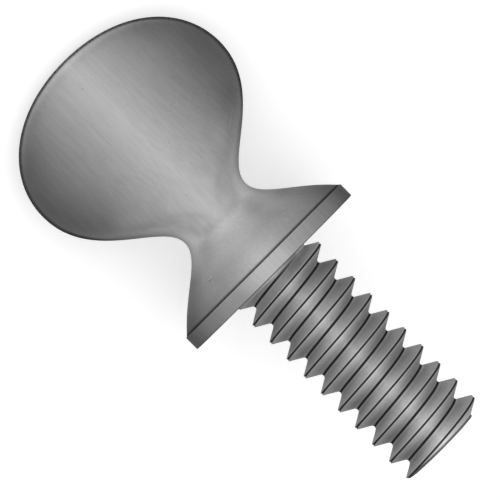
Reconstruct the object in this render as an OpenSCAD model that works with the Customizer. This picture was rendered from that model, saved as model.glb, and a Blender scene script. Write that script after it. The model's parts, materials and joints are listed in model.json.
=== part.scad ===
// Shoulder thumb screw: one cold-formed steel piece with a spade to turn by hand, a round neck,
// a flared shoulder with a flat underside, and a machine thread over the whole shank.
// It lies as it comes to rest, on the rim of the shoulder and the end of the spade, with the
// tip of the thread raised. The screw itself is drawn upright, underside of the shoulder at
// z = 0, spade up and broad across X, and is then laid down.

/* [Thread] */
// Diameter over the thread crests, a No. 6 screw
thread_d = 3.5; // [3:0.05:4]
// Advance per turn, 32 turns to the inch
thread_pitch = 0.79375; // [0.6:0.00625:1]
// Length from the underside of the shoulder to the tip, 5/16 inch
thread_length = 7.94; // [5:0.01:16]
// Depth below the shoulder at which a crest passes the -X side
first_crest = 0.38; // [0:0.01:0.79]
// Bevel round the sheared tip
tip_bevel = 0.1; // [0.05:0.01:0.25]

/* [Shoulder] */
// Diameter of the round shoulder
shoulder_d = 7.18; // [6:0.02:9]
// Height of the straight rim
rim_h = 0.53; // [0.4:0.01:0.9]
// Bevel on both edges of the rim
rim_bevel = 0.06; // [0.03:0.01:0.12]
// Cone that strengthens the corner between underside and shank
corner_cone = 0.16; // [0.12:0.01:0.4]

/* [Neck] */
// Diameter of the round neck at its narrowest
neck_d = 2.81; // [2.4:0.01:3.4]
// Height of the narrowest point
neck_z = 2.75; // [2.4:0.01:3.2]

/* [Spade] */
// Width across the two lobes
spade_w = 8.21; // [7:0.01:10]
// Height of the widest point
spade_z = 6.66; // [6:0.01:7.6]
// Height of the top
head_h = 9.81; // [9:0.01:11]
// Thickness at the middle of the top end
end_t = 1.2; // [0.9:0.05:1.5]
// Share of the thickness lost between middle and edge, the crown of the faces
crown = 0.45; // [0.1:0.05:0.6]
// Squareness of the edge: 2 is a full round, higher is flatter with a tighter edge
edge_power = 9; // [4:0.5:14]

/* [Outline curves] */
// Sideways pull of the curve at the flat top
top_pull = 2.5; // [2:0.02:3.2]
// Downward pull at the widest point
lobe_pull = 2.24; // [1.8:0.02:2.6]
// Upward pull at the neck
neck_pull = 1.04; // [0.8:0.02:1.3]
// Inward pull where the flare runs out at the rim
flare_pull_in = 1; // [0.7:0.02:1.3]
// Upward pull where the flare runs out at the rim
flare_pull_up = 1.1; // [0.8:0.02:1.4]

/* [Hidden] */
$fn = 96;

// Facets of the lofted head: columns round it and rings along each of its three curves
head_columns = 40;
rings_per_curve = 12;
// Facets of the thread in one turn
thread_columns = 36;
// Degrees to a facet where a round face is turned into a mesh
mesh_facet = 6;

shoulder_r = shoulder_d / 2;
neck_r = neck_d / 2;
lobe_r = spade_w / 2;
thread_r = thread_d / 2;
// Narrow step between the end of the flare and the bevel of the rim
flare_step = 0.03;
flare_r = shoulder_r - rim_bevel - flare_step;
// Share of the way from the widest point to the top at which the spade's middle line ends
spine_share = 0.25;
// Height at which the section has changed from the neck's circle to the crowned spade
section_change_z = mix(neck_z, spade_z, 0.7);

// Unified thread form: sharp height, crest flat of an eighth and root flat of a quarter pitch
sharp_h = thread_pitch * cos(30);
thread_depth = sharp_h * 5 / 8;
root_r = thread_r - thread_depth;
crest_flat = thread_pitch / 8;
root_flat = thread_pitch / 4;
flank = (thread_pitch - crest_flat - root_flat) / 2;

function mix(a, b, t) = a + (b - a) * t;
function ease(t) = let(u = max(0, min(1, t))) u * u * (3 - 2 * u);
function bezier(p, t) =
    pow(1 - t, 3) * p[0] + 3 * pow(1 - t, 2) * t * p[1] + 3 * (1 - t) * t * t * p[2] + pow(t, 3) * p[3];
function curve_points(p, first) = [for (i = [first:rings_per_curve]) bezier(p, i / rings_per_curve)];

// Pulls on the far sides of the widest point and of the neck, for one curvature on both sides
lobe_pull_up = lobe_pull * sqrt((lobe_r - top_pull) / (lobe_r - neck_r));
neck_pull_down = neck_pull * sqrt((flare_r - flare_pull_in - neck_r) / (lobe_r - neck_r));

// Half outline as [half width, height], in three curves: top to lobe, lobe to neck, neck to rim
top_curve = [[0, head_h], [top_pull, head_h], [lobe_r, spade_z + lobe_pull_up], [lobe_r, spade_z]];
waist_curve = [
    [lobe_r, spade_z],
    [lobe_r, spade_z - lobe_pull],
    [neck_r, neck_z + neck_pull],
    [neck_r, neck_z]
];
flare_curve = [
    [neck_r, neck_z],
    [neck_r, neck_z - neck_pull_down],
    [flare_r - flare_pull_in, rim_h + flare_pull_up],
    [flare_r, rim_h]
];
outline = concat(curve_points(top_curve, 0), curve_points(waist_curve, 1), curve_points(flare_curve, 1));

// Half thickness of the spade at height z: a wedge, slow at the end, that swells into the neck
function half_thickness(z) =
    let(p = (head_h - z) / (head_h - neck_z)) mix(end_t / 2, neck_r, p * p * p * (4 - 3 * p));

// How far the section at height z has turned from a circle (0) into the crowned spade (1)
function flatness(z) = ease((z - neck_z) / (section_change_z - neck_z));

// Middle line height for an outline point: level with it below the widest point, and drawn in
// towards the widest point above it, so that the rays fan out and the top edge rounds over
function spine_z(z) = z > spade_z ? mix(spade_z, z, spine_share) : z;

// Half height of the section at x and z, at share w of the way from the middle line to the
// outline: the thickness there, crowned across the spade, times the round of the edge
function section_y(x, z, w, r) =
    let(f = flatness(z))
    (z > neck_z ? half_thickness(z) : r)
        * (1 - crown * f * pow(x / lobe_r, 2))
        * sqrt(1 - pow(w, mix(2, edge_power, f)));

// Closed ring of the head through an outline point: w is 1 on the outline and 0 on the middle line
function ring(p) = [
    for (j = [0:head_columns - 1])
        let(a = 360 * j / head_columns, w = abs(cos(a)), x = p.x * cos(a), z = mix(spine_z(p.y), p.y, w))
        [x, sign(sin(a)) * section_y(x, z, w, p.x), z]
];

// The ring at the top has no width, so its left points are the mirror images on the right
function column(i, j) =
    let(k = j % head_columns, quarter = head_columns / 4)
    i == 0 && k > quarter && k < 3 * quarter
        ? (2 * quarter - k + head_columns) % head_columns
        : i * head_columns + k;

// Loft of spade, neck and flare, ending in a plug sunk halfway into the shoulder
module head() {
    stations = concat(outline, [[flare_r, rim_h / 2]]);
    last = len(stations) - 1;
    points = [for (p = stations) each ring(p)];
    sides = [
        for (i = [0:last - 1], j = [0:head_columns - 1])
            each [
                [column(i, j), column(i, j + 1), column(i + 1, j)],
                [column(i, j + 1), column(i + 1, j + 1), column(i + 1, j)]
            ]
    ];
    plug_end = [for (j = [0:head_columns - 1]) column(last, j)];
    polyhedron(points, concat(sides, [plug_end]));
}

// Round shoulder with bevelled rim, and the cone under it that runs out on the shank. It is turned
// by half a mesh facet, so that in a simulation the rim rests on a facet and not on a corner.
module shoulder() {
    corner_r = thread_r + corner_cone / 2;
    rotate(mesh_facet / 2) rotate_extrude()
        polygon([
            [0, rim_h],
            [shoulder_r - rim_bevel, rim_h],
            [shoulder_r, rim_h - rim_bevel],
            [shoulder_r, rim_bevel],
            [shoulder_r - rim_bevel, 0],
            [corner_r, 0],
            [corner_r - corner_cone, -corner_cone],
            [0, -corner_cone]
        ]);
}

// Triangles from each side of a closed edge to one point
function fan(edge, tip) = [for (k = [0:len(edge) - 1]) [edge[k], edge[(k + 1) % len(edge)], tip]];

// Right-hand helical ridge as a solid rod that reaches past low and high at its two ends.
// Column i stands at angle 360 i / thread_columns and rises with it. Its four points are the
// corners of the root and of the crest, and the next root's belong to the column one turn on.
module thread_rod(low, high) {
    n = thread_columns;
    corners = [
        [root_r, 0],
        [root_r, root_flat],
        [thread_r, root_flat + flank],
        [thread_r, root_flat + flank + crest_flat]
    ];
    crest_middle = root_flat + flank + crest_flat / 2;
    // Turns from the low end to the shoulder, and those that the offset and the open end use up
    turns_below = ceil((high - low) / thread_pitch) + 1;
    spare_turns = 4;
    last = n * (turns_below + spare_turns);
    // Height of column 0, such that the middle of a crest passes the -X side at first_crest
    base = -first_crest - crest_middle - (turns_below + 0.5) * thread_pitch;
    function at(i, j) = j == 4 ? (i + n) * 4 : i * 4 + j;
    points = [
        for (i = [0:last], p = corners)
            [p[0] * cos(360 * i / n), p[0] * sin(360 * i / n), base + p[1] + thread_pitch * i / n]
    ];
    low_point = [0, 0, base - thread_pitch];
    high_point = [0, 0, base + thread_pitch * (last / n + 2)];
    strips = [
        for (i = [0:last - 1], j = [0:3])
            if (j < 3 || i < last - n)
                each [
                    [at(i, j), at(i, j + 1), at(i + 1, j)],
                    [at(i + 1, j), at(i, j + 1), at(i + 1, j + 1)]
                ]
    ];
    low_edge = [for (i = [0:n]) at(i, 0), at(0, 3), at(0, 2), at(0, 1)];
    high_edge = [at(last, 0), at(last, 1), at(last, 2), for (i = [last:-1:last - n]) at(i, 3)];
    polyhedron(
        concat(points, [low_point, high_point]),
        concat(strips, fan(low_edge, len(points)), fan(high_edge, len(points) + 1))
    );
}

// Threaded shank: the rod cut off flat at the tip, with its rim bevelled, and inside the shoulder
module shank() {
    inside = rim_h / 2;
    clear_r = thread_r + 1;
    tip_r = thread_r - tip_bevel;
    intersection() {
        thread_rod(-thread_length, inside);
        rotate_extrude()
            polygon([
                [0, inside],
                [clear_r, inside],
                [clear_r, -thread_length + clear_r - tip_r],
                [tip_r, -thread_length],
                [0, -thread_length]
            ]);
    }
}

// Rest: the screw tips over the edge of the shoulder's rim until the middle line of the spade,
// as [half thickness, height], first touches the ground
rest_edge = [shoulder_r, rim_h - rim_bevel];
end_arc = [for (p = ring(outline[0])) if (p.y > 0) [p.y, p.z]];
face_line = [for (p = outline) if (p.y > neck_z) [half_thickness(spine_z(p.y)), spine_z(p.y)]];
rest_tilt = min([for (p = concat(end_arc, face_line)) atan((rest_edge.x - p.x) / (p.y - rest_edge.y))]);
rest_lift = rest_edge.x * cos(rest_tilt) + rest_edge.y * sin(rest_tilt);
// Reach of the laid screw to either side of its shoulder along Y, from which it is centred
reach_head = max([for (p = end_arc) p.y * cos(rest_tilt) + p.x * sin(rest_tilt)]);
reach_tip = thread_length * cos(rest_tilt) + (thread_r - tip_bevel) * sin(rest_tilt);

module lying() {
    translate([0, (reach_head - reach_tip) / 2, rest_lift])
        rotate([90 + rest_tilt, 0, 0])
            children();
}

module thumb_screw() {
    color("#8c8c8c")
        lying()
            union() {
                head();
                shoulder();
                shank();
            }
}

thumb_screw();
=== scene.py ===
"""Shoulder thumb screw: the finished steel surface over its CAD frame, with stage, light and camera."""

import json

import bmesh
import bpy
import numpy as np
from bpy.props import FloatProperty, FloatVectorProperty, IntProperty, PointerProperty
from mathutils import Matrix, Vector


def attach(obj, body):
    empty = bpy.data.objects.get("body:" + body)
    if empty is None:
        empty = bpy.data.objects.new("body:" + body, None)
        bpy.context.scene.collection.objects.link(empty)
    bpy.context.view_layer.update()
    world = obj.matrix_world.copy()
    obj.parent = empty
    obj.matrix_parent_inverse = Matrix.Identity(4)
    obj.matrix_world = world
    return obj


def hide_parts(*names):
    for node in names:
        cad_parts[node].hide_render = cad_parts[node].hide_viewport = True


bl_info = {
    "name": "Shoulder Thumb Screw",
    "version": (1, 0, 0),
    "blender": (4, 5, 0),
    "location": "View3D > Sidebar > Thumb Screw",
    "description": "Builds a cold-formed steel thumb screw with a spade, a shoulder and a rolled thread",
    "category": "Add Mesh",
}

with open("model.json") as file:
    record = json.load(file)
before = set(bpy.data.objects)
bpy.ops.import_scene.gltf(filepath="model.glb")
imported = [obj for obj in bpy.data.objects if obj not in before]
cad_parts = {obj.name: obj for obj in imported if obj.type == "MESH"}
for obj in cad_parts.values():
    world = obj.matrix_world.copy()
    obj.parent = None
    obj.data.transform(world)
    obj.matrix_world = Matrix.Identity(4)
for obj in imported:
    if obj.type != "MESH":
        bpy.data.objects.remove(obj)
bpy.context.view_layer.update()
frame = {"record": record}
MM = 0.001
NODE = "thumb_screw"
BODY = "root"
# Carried by the mesh: the shares of painted side shade, which darkens the steel towards the sides as
# falling light would, of burnishing by dies or work and of painted sheen, of painted shade in roots,
# seams, corners and along some edges, and of shearing where the metal was cut, partly painted shade along
# the outline, and on the underside of the shoulder, which bears on the work, the distance from the axis
MASKS = ("film", "rolled", "dark", "sheared", "bearing")
# Ranges of values: most of a noise texture lies in the first, and plain shares fill the second
NOISE = (0.3, 0.7)
PLAIN = (0, 1)

# Where the screw lies: the middle of the shoulder's underside, and the way from there to the tip
THREAD_MOUNT = next(m for m in frame["record"]["mounts"] if m["name"] == "thread")
UNDERSIDE = Vector(THREAD_MOUNT["pos_m"])
TO_TIP = Vector(THREAD_MOUNT["axis"]).normalized()
ACROSS = Vector((1, 0, 0))
# Outward from the broad face of the spade that looks up
FACE_OUT = ACROSS.cross(TO_TIP).normalized()


def linear(hex_code):
    """Linear RGB of an sRGB colour written as six hex digits."""
    srgb = np.array([int(hex_code[i:i + 2], 16) for i in (0, 2, 4)]) / 255
    return tuple(np.where(srgb <= 0.04045, srgb / 12.92, ((srgb + 0.055) / 1.055) ** 2.4))


def length(label, about, mm):
    """A length property, given in millimetres."""
    return FloatProperty(name=label, description=about, default=mm * MM, min=0, precision=6, unit="LENGTH")


def share(label, about, value):
    """A property for a plain share or factor."""
    return FloatProperty(name=label, description=about, default=value, min=0, subtype="FACTOR", soft_max=1)


def colour(label, about, hex_code):
    """A colour property, given as an sRGB hex value."""
    return FloatVectorProperty(
        name=label, description=about, default=linear(hex_code), subtype="COLOR", size=3, min=0, max=1
    )


class ScrewSizes(bpy.types.PropertyGroup):
    """Sizes of the screw, measured upright with the underside of the shoulder at height 0."""

    thread_d: length("Thread diameter", "Diameter over the thread crests", 3.5)
    thread_pitch: length("Pitch", "Advance of the thread per turn", 0.79375)
    thread_length: length("Thread length", "From the underside of the shoulder to the tip", 7.94)
    first_crest: length("First crest", "Depth at which a crest passes the -X side", 0.38)
    seam_depth: length("Crest seam", "Depth of the seam that rolling leaves along the crest", 0.035)
    seam_width: length("Crest seam width", "Width of that seam", 0.1)
    tip_bevel: length("Tip bevel", "Bevel round the sheared tip", 0.1)
    tip_dish: length("Tip dish", "Depth of the hollow that shearing leaves in the tip", 0.07)
    shoulder_d: length("Shoulder diameter", "Diameter of the round shoulder", 7.18)
    rim_h: length("Rim height", "Height of the shoulder's straight rim", 0.53)
    rim_round: length("Rim edges", "Radius of the two edges of the rim", 0.03)
    corner_round: length("Inner corner", "Radius between underside and thread", 0.08)
    neck_d: length("Neck diameter", "Diameter of the neck at its narrowest", 2.81)
    neck_z: length("Neck height", "Height of the narrowest point", 2.75)
    spade_w: length("Spade width", "Width across the two lobes", 8.21)
    spade_z: length("Spade height", "Height of the widest point", 6.66)
    head_h: length("Head height", "Height of the top", 9.81)
    end_t: length("End thickness", "Thickness at the middle of the top end", 1.2)
    crown: share("Face crown", "Share of the thickness lost from the middle to the lobes", 0.45)
    edge_power: FloatProperty(
        name="Edge squareness", description="2 is a full round, higher is flatter", default=9, min=2
    )
    top_pull: length("Top pull", "Sideways pull of the outline at the flat top", 2.5)
    lobe_pull: length("Lobe pull", "Downward pull of the outline at the widest point", 2.24)
    neck_pull: length("Neck pull", "Upward pull of the outline at the neck", 1.04)
    flare_pull_in: length("Flare pull in", "Inward pull where the flare meets the rim", 1.0)
    flare_pull_up: length("Flare pull up", "Upward pull where the flare meets the rim", 1.1)
    trim_width: length("Trim edge", "Width of the sheared edge, seen from the face", 0.07)
    trim_reach: length("Trim reach", "Half of the sheared edge's height on round neck and flare", 0.06)
    trim_angle: FloatProperty(
        name="Trim land", description="Half of the flat land on the sheared edge, as an angle of its ring",
        default=np.radians(6.75), min=0, subtype="ANGLE",
    )
    columns: IntProperty(
        name="Columns", description="Faces round the screw, a multiple of 4", default=160, min=32
    )


class SteelFinish(bpy.types.PropertyGroup):
    """Finish of the steel."""

    tone: colour("Steel", "Colour of the formed and tumbled head along its middle", "b5b5b5")
    # This colour is also the painted sheen at the neck's bends and the flare's middle
    rolled_tone: colour("Rolled steel", "Colour of steel that dies or work have burnished", "eaeaea")
    # On the sheared edge this colour is partly painted shade along the outline
    dark_tone: colour("Dark steel", "Colour of scale in the pores and on the sheared edge", "363636")
    # Painted shade: this colour darkens roots, the crest seam, corners, the rim's lower edge and the bevel
    painted_shade_tone: colour("Oil", "Colour of the old oil that stays in roots, seams and corners", "161616")
    # Painted shade: grazing reflections are greyed, which darkens the edges of round parts
    grazing_shade_tone: colour("Grazing steel", "Colour of grazing reflections, dulled by oil", "969696")
    # Painted shade: this share darkens the steel towards the sides, as light falling off the rounded head
    # would
    film: share("Film", "Share of the light that the film left towards the sides takes away", 0.7)
    roughness: share("Roughness", "Blur of the reflections on the formed head", 0.44)
    rolled_roughness: share("Rolled roughness", "Blur of the reflections on the thread", 0.58)
    grain: length("Grain", "Size of the tumbled grain", 0.09)
    grain_depth: length("Grain depth", "Height of grain and flow lines", 0.003)
    flow_width: length("Flow line width", "Width of the lines that forming draws along the head", 0.1)
    flow_length: length("Flow line length", "Length of those lines", 3.0)
    shear_width: length("Shear mark width", "Width of the marks that shearing leaves", 0.07)
    shear_length: length("Shear mark length", "Length of those marks", 1.5)
    scuff_width: length("Scuff width", "Width of the rings that tightening rubs into the underside", 0.08)
    mottle: length("Mottle", "Size of the soft cloudy patches", 1.6)
    nick_spacing: length("Nick spacing", "Between the small nicks from tumbling", 1.1)
    nick_depth: length("Nick depth", "Depth of those nicks", 0.012)
    scratch_width: length("Scratch width", "Width of the fine scratches", 0.03)
    scratch_length: length("Scratch length", "Length of the fine scratches", 2.4)


class StageSettings(bpy.types.PropertyGroup):
    """Floor, light and camera."""

    floor_tone: colour("Floor", "Colour of the floor", "f4f4f4")
    floor_size: length("Floor size", "Side of the square floor", 800)
    floor_glow: share("Floor glow", "Light that the paper gives off to the eye and in reflections", 0.43)
    walls: share("Walls", "Brightness of the pale room near the floor", 0.72)
    ceiling: share("Ceiling", "Brightness of the room overhead", 0.6)
    strip_light: share("Strip light", "Brightness of the strip lamp over the screw", 0.6)
    strip_width: length("Strip width", "Width of all three lamps", 14)
    strip_length: length("Strip length", "Length of the strip lamp", 40)
    strip_height: length("Strip height", "From the screw's axis to the strip lamp", 16)
    head_light: share("Head light", "Brightness of the upright lamp off the spade", 0.5)
    tip_light: share("Tip light", "Brightness of the upright lamp off the tip", 1.0)
    end_length: length("End light length", "Height of the upright lamps", 14)
    end_distance: length("End light distance", "From the middle of the screw to each upright lamp", 24)
    end_height: length("End light height", "From the screw's axis to the middle of the upright lamps", 9)
    lens: FloatProperty(
        name="Lens", description="Focal length, long for a flat view", default=300, unit="CAMERA"
    )
    frame_width: length("Frame width", "Width of the picture at the screw's axis", 16.47)
    frame_shift: length("Frame centre", "From the underside towards the spade, along the axis", 1.085)
    frame_aside: length("Frame aside", "Of the frame's centre from the axis, towards +X", 0.05)


def ease(value, start, stop):
    """Smooth step from 0 at start to 1 at stop, held beyond them: with t the share of the way between,
    3 t squared minus 2 t cubed."""
    t = np.clip((value - start) / (stop - start), 0, 1)
    return t * t * (3 - 2 * t)


def band(value, middle, full, reach):
    """Smooth band: 1 within full of the middle, easing to 0 at reach from it."""
    return ease(np.abs(value - middle), reach, full)


def bezier(points, count):
    """Points of a cubic Bezier curve at count even parameters after its start."""
    t = (np.arange(count) + 1)[:, None] / count
    a, b, c, d = np.array(points)
    return (1 - t) ** 3 * a + 3 * (1 - t) ** 2 * t * b + 3 * (1 - t) * t ** 2 * c + t ** 3 * d


def arc(centre, radius, start, stop, count):
    """Points on a circle arc in the radius and height plane, angles in degrees, both ends included."""
    a = np.radians(np.linspace(start, stop, count))
    return np.stack([centre[0] + radius * np.cos(a), centre[1] + radius * np.sin(a)], axis=1)


def filmed(x, half_width):
    """Share of the painted side shade, which darkens the steel towards the sides as falling light would:
    0 along the middle, rising to the side as 1 minus the 1.4th power of the share of the half width left."""
    aside = np.minimum(1, np.abs(x) / half_width)
    return 1 - (1 - aside) ** 1.4


def rings(x, y, z, **masks):
    """Rows of ring points: x, y and z on the upright screw, then each mask, 0 where none is given."""
    fields = [x, y, z] + [masks.get(mask, 0) for mask in MASKS]
    return np.stack(np.broadcast_arrays(*fields), axis=-1)


def head_outline(s):
    """Half width and height along the outline of the head: three Bezier curves, from the top over
    the lobe and the neck to the rim, with equal curvature on both sides of lobe and neck."""
    lobe_r = s.spade_w / 2
    neck_r = s.neck_d / 2
    # The flare ends in a step half as wide as the round edge of the rim
    flare_r = s.shoulder_d / 2 - s.rim_round * 1.5
    lobe_pull_up = s.lobe_pull * np.sqrt((lobe_r - s.top_pull) / (lobe_r - neck_r))
    neck_pull_down = s.neck_pull * np.sqrt((flare_r - s.flare_pull_in - neck_r) / (lobe_r - neck_r))
    top = (0, s.head_h)
    lobe = (lobe_r, s.spade_z)
    neck = (neck_r, s.neck_z)
    rim = (flare_r, s.rim_h)
    return np.concatenate([
        [top],
        bezier([top, (s.top_pull, s.head_h), (lobe_r, s.spade_z + lobe_pull_up), lobe], 44),
        bezier([lobe, (lobe_r, s.spade_z - s.lobe_pull), (neck_r, s.neck_z + s.neck_pull), neck], 44),
        bezier([neck, (neck_r, s.neck_z - neck_pull_down),
                (flare_r - s.flare_pull_in, s.rim_h + s.flare_pull_up), rim], 32),
    ])


def pressed(s, x, w, level):
    """Shares of painted side shade and of painted sheen on the head, at share w of the way to the outline
    and at a level given as a share of the neck's height. The painted side shade is left off the neck and
    upper flare, least towards the flare's sides. Painted sheen lightens the flare's middle, and the two
    bends where the round neck turns into the flat spade, which run outward as they rise."""
    half_width = np.where(level > 1, s.spade_w, s.shoulder_d) / 2
    flare_side = ease(w, 0.5, 0.85) * ease(level, 0.76, 0.58)
    # The painted side shade is left off the neck and upper flare, least towards the flare's sides
    shade_left_off = band(level, 0.85, 0.15, 0.65) * (1 - 0.6 * flare_side)
    film = filmed(x, half_width) * (1 - shade_left_off)
    bend_w = 0.4 + 0.37 * ease(level, 0.95, 1.42)
    bend_sheen = band(w, bend_w, 0.044, 0.264) * ease(level, 0.9, 1.02) * ease(level, 1.9, 1.6)
    flare_sheen = band(level, 0.67, 0.04, 0.24) * ease(w, 0.9, 0.65)
    # Painted sheen: the colour is lightened at the two bends and in the flare's middle, where their form
    # lies in shade
    rolled = np.maximum(0.33 * bend_sheen, 0.22 * flare_sheen)
    return film, rolled


def head_rows(s, angle):
    """Rings of the head, one through each outline point. With w the cosine of the angle, a ring point
    lies at share w of the way from the middle line to the outline. Its height off the middle plane is
    the half thickness there, crowned across the spade, times the root of 1 minus w to the edge power.
    The power is 2, a circle, at neck and flare. Above the widest point the middle line is drawn in,
    so that the rings fan out and the top edge rounds over. Within the trim angle of the outline the
    ring keeps its full reach, which leaves the flat land of the sheared edge."""
    # Share of the way from the widest point to the top at which the middle line ends, and the height
    # from which the section is the spade's
    spine_share = 0.25
    change_z = s.neck_z + 0.7 * (s.spade_z - s.neck_z)
    edge_x, edge_z = head_outline(s).T[:, :, None]
    spine_z = np.where(edge_z > s.spade_z, s.spade_z + spine_share * (edge_z - s.spade_z), edge_z)
    w = np.abs(np.cos(angle))
    land = s.trim_angle * ease(edge_z, s.rim_h, 2 * s.rim_h)
    reach = np.minimum(1, w / np.cos(land))
    x = edge_x * np.sign(np.round(np.cos(angle), 9)) * reach
    z = spine_z + (edge_z - spine_z) * reach
    flat = ease(z, s.neck_z, change_z)
    p = (s.head_h - z) / (s.head_h - s.neck_z)
    wedge = s.end_t / 2 + (s.neck_d / 2 - s.end_t / 2) * p ** 3 * (4 - 3 * p)
    half = np.where(z > s.neck_z, wedge, edge_x)
    crowned = half * (1 - s.crown * flat * (2 * x / s.spade_w) ** 2)
    round_over = np.sqrt(np.maximum(0, 1 - w ** (2 + (s.edge_power - 2) * flat)))
    y = np.sign(np.round(np.sin(angle), 9)) * crowned * round_over

    # The sheared edge is tall and dark round the spade, and a faint parting line on neck and flare; the
    # dark of both is partly painted shade along the outline
    inward = (1 - reach) * np.hypot(edge_x, edge_z - spine_z)
    tall = s.trim_reach * (1 + 4 * flat)
    sheared = band(inward, 0, s.trim_width, 2 * s.trim_width) * band(y, 0, tall, 2 * tall)
    sheared = sheared * (0.5 + 0.5 * flat)
    # Painted shade in the last tenth of a millimetre of the flare, in the corner with the rim
    rim_r = s.shoulder_d / 2
    rim_corner_shade = ease(edge_x, rim_r - 0.12 * MM, rim_r - 0.07 * MM) * (edge_z < s.neck_z)
    # Painted side shade across the head and painted sheen at the neck's bends and the flare's middle
    film, rolled = pressed(s, x, w, edge_z / s.neck_z)
    return rings(x, y, z, film=film, rolled=rolled, dark=rim_corner_shade, sheared=sheared)


def thread_radius(s, angle, z):
    """Radius of the rolled thread. With d the distance along the axis from the middle of the nearest
    crest, the crest is flat for a sixteenth of the pitch, then falls at 30 degrees to a round root. A
    shallow seam runs along the crest. Also returns the shares of the full depth and of the seam's, and
    the share of the pitch from the crest, above 0 on the flank that looks to the head."""
    pitch = s.thread_pitch
    crest_z = -s.first_crest + pitch * (angle / (2 * np.pi) - 0.5)
    phase = (z - crest_z) / pitch
    side = phase - np.round(phase)
    d = np.abs(side) * pitch
    flat = pitch / 16
    root = pitch * np.cos(np.pi / 6) / 6
    slope = np.sqrt(3)
    sharp_depth = slope * (pitch / 2 - flat)
    flank = slope * (d - flat)
    inside = np.sqrt(np.maximum(0, root ** 2 - (pitch / 2 - d) ** 2))
    valley = sharp_depth - 2 * root + inside
    depth = np.where(pitch / 2 - d < root * slope / 2, valley, flank)
    # The crest's edge is rounded by a soft maximum with the flat
    soft = 0.02 * pitch
    depth = (depth + np.sqrt(depth ** 2 + soft ** 2)) / 2
    seam = ease(d, s.seam_width / 2, 0)
    full = sharp_depth - root
    return s.thread_d / 2 - depth - s.seam_depth * seam, depth / full, seam, side


def shoulder_rows(s, angle):
    """Rings of the shoulder: a profile of radius and height turned round the axis, from the step at
    the end of the flare over the rim and its two round edges, then rings of the flat underside, which
    close in evenly on the line where the inner corner leaves it."""
    r = s.shoulder_d / 2
    e = s.rim_round
    corner_r = thread_radius(s, angle, -s.corner_round)[0] + s.corner_round
    upper_edge = arc((r - e, s.rim_h - e), e, 90, 0, 7)
    lower_edge = arc((r - e, e), e, 0, -90, 7)
    rim_z = np.linspace(s.rim_h - e, e, 8)[1:-1]
    rim = np.stack([np.full_like(rim_z, r), rim_z], axis=1)
    turned = np.concatenate([upper_edge, rim, lower_edge])
    face = np.array([0.99, 0.96, 0.8, 0.5, 0.2, 0.04, 0.01, 0])[:, None]

    radius = np.concatenate([turned[:, :1] + 0 * angle, corner_r + (r - e - corner_r) * face])
    z = np.concatenate([turned[:, 1:], 0 * face])
    x = radius * np.cos(angle)
    on_face = np.arange(len(z))[:, None] >= len(turned) - 1
    # Painted shade above the rim, along its lower edge and in the inner corner
    upper_dark = [1, 0.6, 0, 0, 0, 0, 0]
    lower_dark = [0, 0.5, 0.9, 0.9, 0.5, 0, 0]
    face_dark = [0, 0, 0, 0, 0, 0.1, 0.25, 0.4]
    dark = np.concatenate([upper_dark, 0 * rim_z, lower_dark, face_dark])[:, None]
    # The painted side shade is whole on the rim's sides and mostly left off the burnished underside
    half_width = s.spade_w / 2
    rim_film = ease(np.abs(x) / half_width, 0.25, 0.85)
    film = np.where(on_face, 0.23 * filmed(x, half_width), rim_film)
    return rings(
        x, radius * np.sin(angle), z, film=film, rolled=0.6 * on_face, dark=dark, bearing=radius * on_face
    )


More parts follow.
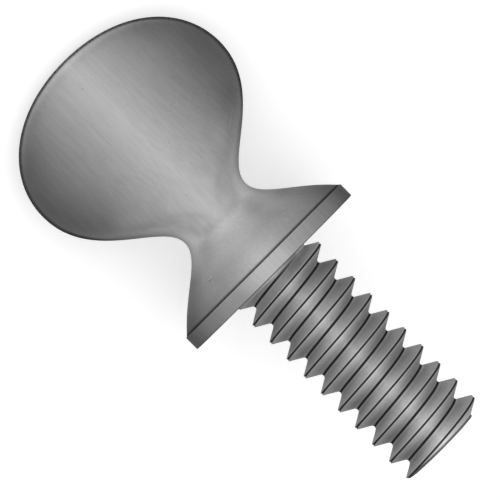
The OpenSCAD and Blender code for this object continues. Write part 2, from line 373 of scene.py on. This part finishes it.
def shank_rows(s, angle):
    """Rings of the shank in three stretches: level rings through the round inner corner, rings that
    climb with the thread, so that crest, flanks and root keep their own lines, and level rings over
    the bevelled tip to its middle. A climbing ring ends where it meets a level one. In the corner the
    thread's own section goes on towards the underside and widens along a quarter circle. The tip is
    dished as 1 minus the square of the share of its radius."""
    c = s.corner_round
    low = -s.thread_length
    bevel_top = low + s.tip_bevel

    corner_z = -c + c * np.cos(np.radians(np.linspace(0, 90, 10)[1:]))[:, None]
    # Shares of the pitch from the middle of a crest at which rings run
    crest = [0, 0.012, 0.024, 0.036, 0.048, 0.058, 0.068, 0.08]
    flank = [0.12, 0.17, 0.22, 0.27, 0.31]
    root = [0.345, 0.38, 0.415, 0.45, 0.48]
    half_turn = np.array(crest + flank + root)
    one_turn = np.concatenate([half_turn, 1 - half_turn[:0:-1]])
    turns = np.arange(-np.ceil(s.thread_length / s.thread_pitch) - 1, 2)
    climb = (turns[:, None] + one_turn).ravel()[::-1, None]
    climb_z = -s.first_crest + s.thread_pitch * (angle / (2 * np.pi) - 0.5 + climb)
    climb_z = np.clip(climb_z, bevel_top, -c)
    bevel_z = np.linspace(bevel_top, low, 6)[1:, None]
    z = np.concatenate([corner_z + 0 * angle, climb_z, bevel_z + 0 * angle])

    radius, deep, seam, side = thread_radius(s, angle, np.minimum(z, -c))
    in_corner = np.maximum(0, z + c)
    radius = radius + c - np.sqrt(np.maximum(0, c ** 2 - in_corner ** 2))
    radius = np.minimum(radius, s.thread_d / 2 - s.tip_bevel + z - low)
    x = radius * np.cos(angle)
    y = radius * np.sin(angle)

    # Painted shade in the root, less where that runs out under the shoulder, in the seam along the crest,
    # in the inner corner and on the bevel
    turns_down = -z / s.thread_pitch
    root_dark = ease(deep, 0.965, 1) * (0.15 + 0.85 * ease(turns_down, 0.05, 0.25))
    corner_dark = 0.2 * (in_corner > 0)
    bevel_dark = 0.7 * (z < low + s.tip_bevel * 0.99)
    dark = np.maximum.reduce([root_dark, np.sqrt(seam), corner_dark, bevel_dark])
    # Painted side shade on the thread; it is taken off the first flank that looks to the head, under the
    # shoulder, which lightens that flank against its shade
    first_flank_unshaded = ease(turns_down, 1.15, 0.15) * ease(side, 0, 0.05)
    film = 0.78 * filmed(x, s.thread_d / 2) * (1 - first_flank_unshaded)
    sides = rings(x, y, z, film=film, rolled=1, dark=dark)

    # The sheared, dished tip face, with painted side shade across it
    shrink = np.array([0.96, 0.85, 0.6, 0.3, 0])[:, None]
    tip_x = x[-1:] * shrink
    tip_z = low + s.tip_dish * (1 - shrink ** 2)
    tip = rings(tip_x, y[-1:] * shrink, tip_z, film=filmed(tip_x, s.spade_w / 2), sheared=0.35)
    return np.concatenate([sides, tip])


def screw_grid(s):
    """The whole surface as one grid: rows from the top of the spade to the middle of the tip, columns
    round the axis. Each point has x, y and z on the upright screw, then one share for each mask."""
    angle = np.linspace(0, 2 * np.pi, s.columns + 1)[None, :]
    return np.concatenate([head_rows(s, angle), shoulder_rows(s, angle), shank_rows(s, angle)])


def grid_mesh(name, grid):
    """Closed mesh of a grid: one quad per cell, doubles merged at seam, poles and ring ends."""
    rows, columns = grid.shape[:2]
    corner = (np.arange(rows - 1)[:, None] * columns + np.arange(columns - 1)).ravel()
    quads = np.stack([corner, corner + columns, corner + columns + 1, corner + 1], axis=1)
    points = grid.reshape(-1, grid.shape[2])
    lie = np.array(Matrix((ACROSS, FACE_OUT, -TO_TIP)))
    placed = points[:, :3] @ lie + np.array(UNDERSIDE)

    mesh = bpy.data.meshes.new(name)
    mesh.from_pydata(placed, [], quads)
    for mask, values in zip(MASKS, points[:, 3:].T.astype(np.float32)):
        mesh.attributes.new(mask, "FLOAT", "POINT").data.foreach_set("value", values)
    shaped = bmesh.new()
    shaped.from_mesh(mesh)
    bmesh.ops.remove_doubles(shaped, verts=shaped.verts, dist=2e-8)
    bmesh.ops.dissolve_degenerate(shaped, edges=shaped.edges, dist=1e-9)
    bmesh.ops.recalc_face_normals(shaped, faces=shaped.faces)
    if any(not edge.is_manifold for edge in shaped.edges):
        raise RuntimeError("the surface of the screw isn't closed")
    shaped.to_mesh(mesh)
    shaped.free()
    mesh.shade_smooth()
    return mesh


def add_node(tree, kind, inputs=None, **settings):
    """Add a node with its settings. An input given as a socket is linked, any other is set."""
    made = tree.nodes.new(kind)
    for name, value in settings.items():
        setattr(made, name, value)
    for key, value in (inputs or {}).items():
        if isinstance(value, bpy.types.NodeSocket):
            tree.links.new(value, made.inputs[key])
        else:
            made.inputs[key].default_value = value
    return made


def steel_material(f):
    """Low-carbon steel, cold-formed between dies, trimmed, thread-rolled and tumbled. Forming draws
    faint lines along the head, tumbling gives a satin grain with small nicks, fingers leave fine
    scratches, dies burnish the thread, tightening rubs rings into the underside, and scale stays dark in
    the pores and on the sheared edge. Painted side shade darkens the steel towards the sides, painted
    sheen lightens the neck's bends and the flare's middle, and painted shade darkens roots, crest seams,
    corners, some edges and the outline."""
    material = bpy.data.materials.new("cold_formed_steel")
    material.use_nodes = True
    tree = material.node_tree
    tree.nodes.clear()
    place = add_node(tree, "ShaderNodeTexCoord").outputs["Object"]
    film, rolled, dark, sheared, bearing = (
        add_node(tree, "ShaderNodeAttribute", attribute_name=mask).outputs["Fac"] for mask in MASKS
    )

    # Patterns, all in real lengths: line patterns are noise stretched to their size, which is given
    # across the head, along it and through it, and turned from the screw's axis
    clouds = add_node(tree, "ShaderNodeTexNoise", {
        "Vector": place, "Scale": 1 / f.mottle, "Detail": 4}).outputs["Fac"]
    grain = add_node(tree, "ShaderNodeTexNoise", {
        "Vector": place, "Scale": 1 / f.grain, "Detail": 2}).outputs["Fac"]
    scuff = add_node(tree, "ShaderNodeTexNoise", {
        "W": bearing, "Scale": 1 / f.scuff_width, "Detail": 2}, noise_dimensions="1D").outputs["Fac"]
    nicks = add_node(tree, "ShaderNodeTexVoronoi", {"Vector": place, "Scale": 1 / f.nick_spacing}).outputs
    lie = Matrix.Rotation(np.arctan2(TO_TIP.z, TO_TIP.y), 3, "X")
    scratch_size = (f.scratch_width, f.scratch_length, f.scratch_length / 4)
    lines = []
    for degrees, size in (
        (0, (f.flow_width, f.flow_length, f.flow_width)),
        (0, (f.shear_width, f.shear_width, f.shear_length)),
        (35, scratch_size),
        (-52, scratch_size),
    ):
        turn = lie @ Matrix.Rotation(np.radians(degrees), 3, "Z")
        spot = add_node(tree, "ShaderNodeMapping", {
            "Vector": place, "Rotation": turn.to_euler(), "Scale": size}, vector_type="TEXTURE")
        lines.append(add_node(tree, "ShaderNodeTexNoise", {
            "Vector": spot.outputs["Vector"], "Scale": 1, "Detail": 2}).outputs["Fac"])
    flow, shear, scratch, cross_scratch = lines
    scratch = add_node(tree, "ShaderNodeMath", {
        0: scratch, 1: cross_scratch}, operation="MAXIMUM").outputs["Value"]
    scratch = add_node(tree, "ShaderNodeMapRange", {
        "Value": scratch, "From Min": 0.7, "From Max": 0.78}).outputs["Result"]

    # Colour: burnished, with painted sheen, or neither, times the light that painted side shade, clouds,
    # flow, scratches and scuffs leave
    base = add_node(tree, "ShaderNodeMix", {
        "Factor": rolled, 6: (*f.tone, 1), 7: (*f.rolled_tone, 1)}, data_type="RGBA").outputs[2]
    for value, (low, high), (at_low, at_high) in (
        (film, PLAIN, (1, 1 - f.film)),
        (clouds, NOISE, (0.92, 1.06)),
        (flow, NOISE, (0.95, 1.05)),
        (scratch, PLAIN, (1, 1.25)),
        (scuff, NOISE, (0.88, 1.12)),
    ):
        level = add_node(tree, "ShaderNodeMapRange", {
            "Value": value, "From Min": low, "From Max": high, "To Min": at_low, "To Max": at_high})
        base = add_node(tree, "ShaderNodeMix", {
            "Factor": 1, 6: base, 7: level.outputs["Result"]},
            data_type="RGBA", blend_type="MULTIPLY").outputs[2]
    # Dark places: scale in the pores and on the sheared edge, uneven with its marks and partly painted
    # shade along the outline, and painted shade in roots, seams, corners and on some edges
    pores = add_node(tree, "ShaderNodeMapRange", {
        "Value": grain, "From Min": 0.68, "From Max": 0.8, "To Max": 0.3}).outputs["Result"]
    torn = add_node(tree, "ShaderNodeMapRange", {
        "Value": shear, "From Min": NOISE[0], "From Max": NOISE[1],
        "To Min": 0.6, "To Max": 0.95}).outputs["Result"]
    torn = add_node(tree, "ShaderNodeMath", {0: sheared, 1: torn}, operation="MULTIPLY").outputs["Value"]
    scaled = add_node(tree, "ShaderNodeMath", {0: pores, 1: torn}, operation="MAXIMUM").outputs["Value"]
    darkened = add_node(tree, "ShaderNodeMath", {
        0: dark, 1: scaled}, operation="MAXIMUM").outputs["Value"]
    for spread, tone in ((scaled, f.dark_tone), (dark, f.painted_shade_tone)):
        base = add_node(tree, "ShaderNodeMix", {
            "Factor": spread, 6: base, 7: (*tone, 1)}, data_type="RGBA").outputs[2]

    # Roughness: more on the thread and where dark, less in scratches, uneven with the clouds
    rough = add_node(tree, "ShaderNodeMapRange", {
        "Value": rolled, "To Min": f.roughness, "To Max": f.rolled_roughness}).outputs["Result"]
    for value, gain in ((darkened, 0.18), (scratch, -0.08)):
        rough = add_node(tree, "ShaderNodeMath", {
            0: value, 1: gain, 2: rough}, operation="MULTIPLY_ADD").outputs["Value"]
    uneven = add_node(tree, "ShaderNodeMapRange", {
        "Value": clouds, "From Min": NOISE[0], "From Max": NOISE[1],
        "To Min": -0.05, "To Max": 0.05}).outputs["Result"]
    rough = add_node(tree, "ShaderNodeMath", {0: rough, 1: uneven}, operation="ADD").outputs["Value"]

    # Relief: nicks in about half of the cells, then grain and scuffs with flow lines or shear marks
    hollow = add_node(tree, "ShaderNodeMapRange", {
        "Value": nicks["Distance"], "From Max": 0.1, "To Min": 1, "To Max": 0},
        interpolation_type="SMOOTHSTEP").outputs["Result"]
    picked = add_node(tree, "ShaderNodeMath", {
        0: nicks["Color"], 1: 0.5}, operation="GREATER_THAN").outputs["Value"]
    nicked = add_node(tree, "ShaderNodeMath", {
        0: hollow, 1: picked}, operation="MULTIPLY").outputs["Value"]
    bump = add_node(tree, "ShaderNodeBump", {
        "Height": nicked, "Strength": 1, "Distance": f.nick_depth}, invert=True).outputs["Normal"]
    relief = add_node(tree, "ShaderNodeMix", {"Factor": sheared, 2: flow, 3: shear}).outputs[0]
    for value in (grain, scuff):
        relief = add_node(tree, "ShaderNodeMath", {0: relief, 1: value}, operation="ADD").outputs["Value"]
    bump = add_node(tree, "ShaderNodeBump", {
        "Height": relief, "Strength": 1, "Distance": f.grain_depth, "Normal": bump}).outputs["Normal"]

    # The greyed grazing tone darkens the edges of round parts: painted shade
    shader = add_node(tree, "ShaderNodeBsdfPrincipled", {
        "Base Color": base, "Metallic": 1, "Roughness": rough, "Specular Tint": (*f.grazing_shade_tone, 1),
        "Normal": bump})
    add_node(tree, "ShaderNodeOutputMaterial", {"Surface": shader.outputs["BSDF"]})
    return material


class AddScrew(bpy.types.Operator):
    """Build the thumb screw as one closed steel surface"""

    bl_idname = "thumb_screw.add_screw"
    bl_label = "Add Thumb Screw"

    def execute(self, context):
        scene = context.scene
        mesh = grid_mesh("cold_formed_screw", screw_grid(scene.screw_sizes))
        mesh.materials.append(steel_material(scene.steel_finish))
        screw = bpy.data.objects.new("cold_formed_screw", mesh)
        scene.collection.objects.link(screw)
        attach(screw, BODY)
        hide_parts(NODE)
        return {"FINISHED"}


def paper_material(g):
    """White paper, pressed matt: even and without gloss. It glows a little to the eye and in
    reflections, so that it stays white round the screw's shadow."""
    material = bpy.data.materials.new("matt_paper")
    material.use_nodes = True
    tree = material.node_tree
    tree.nodes.clear()
    ray = add_node(tree, "ShaderNodeLightPath").outputs
    seen = ray["Is Camera Ray"]
    for kind in ("Is Glossy Ray", "Is Transmission Ray"):
        seen = add_node(tree, "ShaderNodeMath", {0: seen, 1: ray[kind]}, operation="ADD").outputs["Value"]
    glow = add_node(tree, "ShaderNodeMath", {0: seen, 1: g.floor_glow}, operation="MULTIPLY")
    shader = add_node(tree, "ShaderNodeBsdfPrincipled", {
        "Base Color": (*g.floor_tone, 1), "Roughness": 0.9, "Specular IOR Level": 0.1,
        "Emission Color": (1, 1, 1, 1), "Emission Strength": glow.outputs["Value"]})
    add_node(tree, "ShaderNodeOutputMaterial", {"Surface": shader.outputs["BSDF"]})
    return material


def add_floor(scene, g):
    """Pale square floor that the screw lies on."""
    half = g.floor_size / 2
    corners = [(-half, -half, 0), (half, -half, 0), (half, half, 0), (-half, half, 0)]
    mesh = bpy.data.meshes.new("floor")
    mesh.from_pydata(corners, [], [(0, 1, 2, 3)])
    mesh.materials.append(paper_material(g))
    floor = bpy.data.objects.new("floor", mesh)
    scene.collection.objects.link(floor)


def add_light(scene, g):
    """Soft studio light: a room with pale walls and a dim ceiling, a strip lamp along the screw above
    it, and an upright lamp off each end."""
    world = bpy.data.worlds.new("studio")
    world.use_nodes = True
    tree = world.node_tree
    tree.nodes.clear()
    way = add_node(tree, "ShaderNodeTexCoord").outputs["Generated"]
    upward = add_node(tree, "ShaderNodeSeparateXYZ", {"Vector": way}).outputs["Z"]
    level = add_node(tree, "ShaderNodeMapRange", {
        "Value": upward, "From Max": 0.85, "To Min": g.walls, "To Max": g.ceiling},
        interpolation_type="SMOOTHSTEP")
    sky = add_node(tree, "ShaderNodeBackground", {
        "Color": (1, 1, 1, 1), "Strength": level.outputs["Result"]})
    add_node(tree, "ShaderNodeOutputWorld", {"Surface": sky.outputs["Background"]})
    scene.world = world

    middle = UNDERSIDE - TO_TIP * g.frame_shift
    raised = middle + FACE_OUT * g.end_height
    to_end = TO_TIP * g.end_distance
    lamps = (
        ("strip_lamp", g.strip_light, g.strip_length, middle + FACE_OUT * g.strip_height, FACE_OUT),
        ("head_lamp", g.head_light, g.end_length, raised - to_end, -TO_TIP),
        ("tip_lamp", g.tip_light, g.end_length, raised + to_end, TO_TIP),
    )
    for name, brightness, long, place, back in lamps:
        data = bpy.data.lights.new(name, "AREA")
        data.shape = "RECTANGLE"
        data.size = g.strip_width
        data.size_y = long
        data.energy = brightness * np.pi * g.strip_width * long
        lamp = bpy.data.objects.new(name, data)
        turn = Matrix((ACROSS, back.cross(ACROSS), back)).transposed()
        lamp.matrix_world = Matrix.Translation(place) @ turn.to_4x4()
        scene.collection.objects.link(lamp)


def add_camera(scene, g):
    """Camera square to the broad face, with the screw on the picture's falling diagonal."""
    right = (TO_TIP - ACROSS).normalized()
    up = (-ACROSS - TO_TIP).normalized()
    data = bpy.data.cameras.new("camera")
    data.lens = g.lens
    distance = g.frame_width * g.lens / data.sensor_width
    data.clip_start = distance / 10
    data.clip_end = distance * 100
    camera = bpy.data.objects.new("camera", data)
    centre = UNDERSIDE - TO_TIP * g.frame_shift + ACROSS * g.frame_aside
    turn = Matrix((right, up, FACE_OUT)).transposed()
    camera.matrix_world = Matrix.Translation(centre + FACE_OUT * distance) @ turn.to_4x4()
    scene.collection.objects.link(camera)
    scene.camera = camera


class AddStage(bpy.types.Operator):
    """Add floor, studio light and camera"""

    bl_idname = "thumb_screw.add_stage"
    bl_label = "Add Stage"

    def execute(self, context):
        scene = context.scene
        settings = scene.stage_settings
        add_floor(scene, settings)
        add_light(scene, settings)
        add_camera(scene, settings)
        scene.view_settings.view_transform = "Standard"
        return {"FINISHED"}


class ScrewPanel(bpy.types.Panel):
    """Lists the sizes, the finish and the steps"""

    bl_idname = "VIEW3D_PT_thumb_screw"
    bl_label = "Thumb Screw"
    bl_space_type = "VIEW_3D"
    bl_region_type = "UI"
    bl_category = "Thumb Screw"

    def draw(self, context):
        for name in GROUPS:
            group = getattr(context.scene, name)
            box = self.layout.box()
            for field in group.__annotations__:
                box.prop(group, field)
        self.layout.operator(AddScrew.bl_idname)
        self.layout.operator(AddStage.bl_idname)


GROUPS = {"screw_sizes": ScrewSizes, "steel_finish": SteelFinish, "stage_settings": StageSettings}
CLASSES = (*GROUPS.values(), AddScrew, AddStage, ScrewPanel)


def register():
    for cls in CLASSES:
        bpy.utils.register_class(cls)
    for name, group in GROUPS.items():
        setattr(bpy.types.Scene, name, PointerProperty(type=group))


def unregister():
    for name in GROUPS:
        delattr(bpy.types.Scene, name)
    for cls in reversed(CLASSES):
        bpy.utils.unregister_class(cls)


def main():
    register()
    bpy.ops.thumb_screw.add_screw()
    bpy.ops.thumb_screw.add_stage()


if __name__ == "__main__":
    main()
